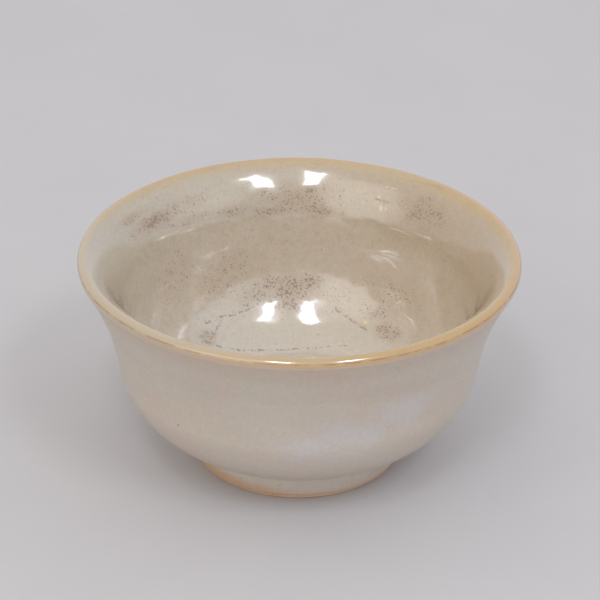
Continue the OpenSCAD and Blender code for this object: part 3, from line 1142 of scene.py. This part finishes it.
def clay_finish(paint, place):
    """Sandy tan with grog, trimming rings, which are sines of the radius, and an orange flush near the
    glaze's edge."""
    sand = paint.noise(place.mm, GRAIN, 4, 0.7)
    slow = paint.noise(place.mm, 5)
    colour = paint.mix(paint.rise(slow, -0.7, 0.7), CLAY.pale, CLAY.rosy)
    grog = paint.rise(paint.noise(place.mm, 0.8, 2), 0.45, 0.8)
    colour = paint.mix(grog * 0.6, colour, CLAY.grog)
    flush = paint.rise(place.z + slow * 0.15, 0.1, 0.7)
    flushed = paint.mix(flame_side(paint, place, slow), CLAY.flush, CLAY.orange)
    colour = paint.mix(flush * 0.6, colour, flushed)
    rings = paint.math("SINE", place.r * RING_PACE + slow * 1.5)
    colour = paint.scaled(colour, sand * 0.08 + rings * 0.02 + 1)
    return colour, CLAY_ROUGHNESS + sand * 0.05, sand * 0.02 + rings * 0.008 - grog * 0.03


# %% [markdown]
# A lustre's metals make its mirror stronger than plain glass's, so the refraction is set high. The pearl
# has no clear coat: it is satin all through. The clay is so rough that it mirrors hardly anything.

# %% Put the finishes on the pieces
GLAZE_IOR = 1.7
CLEAR_TOP = {"Coat_Weight": 1.0, "Coat_Roughness": 0.085, "Coat_IOR": 1.9}
FINISHES = {
    "lustre_glass": ([inner_coat], lustre_finish, {"IOR": GLAZE_IOR, **CLEAR_TOP}),
    "amber_glass": ([lip_coat], lip_finish, {"IOR": GLAZE_IOR, **CLEAR_TOP}),
    "pearl_glass": ([outer_coat, well_coat], pearl_finish, {"IOR": 1.9}),
    "bare_clay": ([bowl_clay, ring_clay], clay_finish, {"IOR": 1.5}),
}
for name, (pieces, build, uniform) in FINISHES.items():
    finish = make_finish(name, build, **uniform)
    for piece in pieces:
        piece.data.materials.append(finish)

# %% [markdown]
# ## Table
# The cup stands on a plain pale sheet. The sheet isn't part of the object.
# It reaches far enough that its edge stays out of most views.

# %% Floor
FLOOR_HALF = 3.0
corners = np.array([[-1, -1, 0], [1, -1, 0], [1, 1, 0], [-1, 1, 0]]) * FLOOR_HALF
sheet_mesh = bpy.data.meshes.new("table_sheet")
sheet_mesh.from_pydata(corners.tolist(), [], [[0, 1, 2, 3]])
table_sheet = bpy.data.objects.new("table_sheet", sheet_mesh)
bpy.context.scene.collection.objects.link(table_sheet)
PAPER = colours(pale="c8c6c7", cool="c5c3c5")


def paper_finish(paint, place):
    """Pale, faintly mottled paper with fibres."""
    mottle = paint.noise(place.mm, 30, 3)
    fibres = paint.noise(place.mm, 1.5, 3)
    colour = paint.mix(paint.rise(mottle, -1, 1), PAPER.pale, PAPER.cool)
    return paint.scaled(colour, fibres * 0.006 + 1), 0.9 + fibres * 0.02, fibres * 0.01


sheet_mesh.materials.append(make_finish("paper", paper_finish, IOR=1.3))

# %% [markdown]
# ## Light
# Two ceiling panels in front of the table and to either side give the paired highlights on the lip, on the
# far shoulder and in the hollow. Their light is a little cool, as daylight is beside a warm pot.

# %% Ceiling panels
PANEL_HEIGHT = 1.0
PANEL_COLOUR = (0.95, 1.0, 1.06)
# Brightness, middle and size in metres
PANELS = {
    "panel_right": (11.5, (0.425, -0.715), (0.17, 0.45)),
    "panel_left": (10.5, (-0.145, -0.74), (0.17, 0.42)),
}
for name, (level, middle, size) in PANELS.items():
    panel = bpy.data.lights.new(name, "AREA")
    panel.shape = "RECTANGLE"
    panel.size, panel.size_y = size
    panel.energy = level * np.pi * size[0] * size[1]
    panel.color = PANEL_COLOUR
    panel_object = bpy.data.objects.new(name, panel)
    panel_object.location = (*middle, PANEL_HEIGHT)
    bpy.context.scene.collection.objects.link(panel_object)
    print(f"{name}: {panel.energy:.2f} W")

# %% [markdown]
# The rest is soft room light: a world that is a little brighter overhead than at the horizon, with two
# broad pale walls, a touch warmer on the left and cooler on the right. With the panels it lights the table
# at about the level at which a colour renders as it is written.

# %% Room
ROOM_LIGHT = 0.735
OVERHEAD_LIGHT = 0.1
# Azimuth and elevation in degrees and added brightness of each wall, and how far it spreads and stays full
ROOM_SIDES = [(-40, 28, 0.7), (67, 28, 0.15)]
SIDE_REACH, SIDE_CORE = np.cos(np.radians([30, 10]))
WARM_SIDE, COOL_SIDE = (1.03, 0.987, 0.945, 1.0), (0.98, 0.987, 1.045, 1.0)


def toward(azimuth_degrees, elevation_degrees):
    """The unit vector towards an azimuth, from the camera's side, and an elevation: the turned point whose
    radius is the elevation's cosine and whose height is its sine."""
    return tuple(spun(*way(elevation_degrees), np.radians(azimuth_degrees)))


world = bpy.data.worlds.new("room")
bpy.context.scene.world = world
world.use_nodes = True
room = Paint(world.node_tree)
direction = room.node("TexCoord", out="Generated")
strength = room.rise(room.dot(direction, (0, 0, 1)), 0.35, 1) * OVERHEAD_LIGHT + ROOM_LIGHT
for turn, elevation, extra in ROOM_SIDES:
    near = room.dot(direction, toward(turn, elevation))
    strength = strength + room.rise(near, SIDE_REACH, SIDE_CORE) * extra
tint = room.mix(room.rise(room.dot(direction, (1, 0, 0)), -1, 1), WARM_SIDE, COOL_SIDE)
sky = world.node_tree.nodes["Background"]
world.node_tree.links.new(tint.socket, sky.inputs["Color"])
world.node_tree.links.new(strength.socket, sky.inputs["Strength"])
print(f"room: {len(world.node_tree.nodes)} nodes")

# %% [markdown]
# ## Camera
# The photograph looks down at the cup by 28.5 degrees through a long lens, half a metre away and turned
# by less than a degree. The camera's matrix is built from its three axes.

# %% Camera
CAMERA_DISTANCE = 0.5
CAMERA_ELEVATION = np.radians(28.497)
CAMERA_ROLL = np.radians(0.714)
CAMERA_TARGET = np.array([0.183, 0, 30.688]) * MM
LENS = 165.18
SENSOR = 36.0

back = np.array([0, -np.cos(CAMERA_ELEVATION), np.sin(CAMERA_ELEVATION)])
level_right = np.array([1.0, 0, 0])
level_up = np.cross(back, level_right)
camera_right = np.cos(CAMERA_ROLL) * level_right + np.sin(CAMERA_ROLL) * level_up
camera_up = np.cos(CAMERA_ROLL) * level_up - np.sin(CAMERA_ROLL) * level_right
camera_place = CAMERA_TARGET + back * CAMERA_DISTANCE

camera = bpy.data.cameras.new("camera")
camera.lens = LENS
camera.sensor_width = SENSOR
camera_object = bpy.data.objects.new("camera", camera)
rows = np.column_stack([camera_right, camera_up, back, camera_place])
camera_object.matrix_world = Matrix([*rows.tolist(), [0, 0, 0, 1]])
bpy.context.scene.collection.objects.link(camera_object)
bpy.context.scene.camera = camera_object
bpy.context.scene.view_settings.view_transform = "Standard"
print("camera at", np.round(camera_place / MM, 1), "mm")
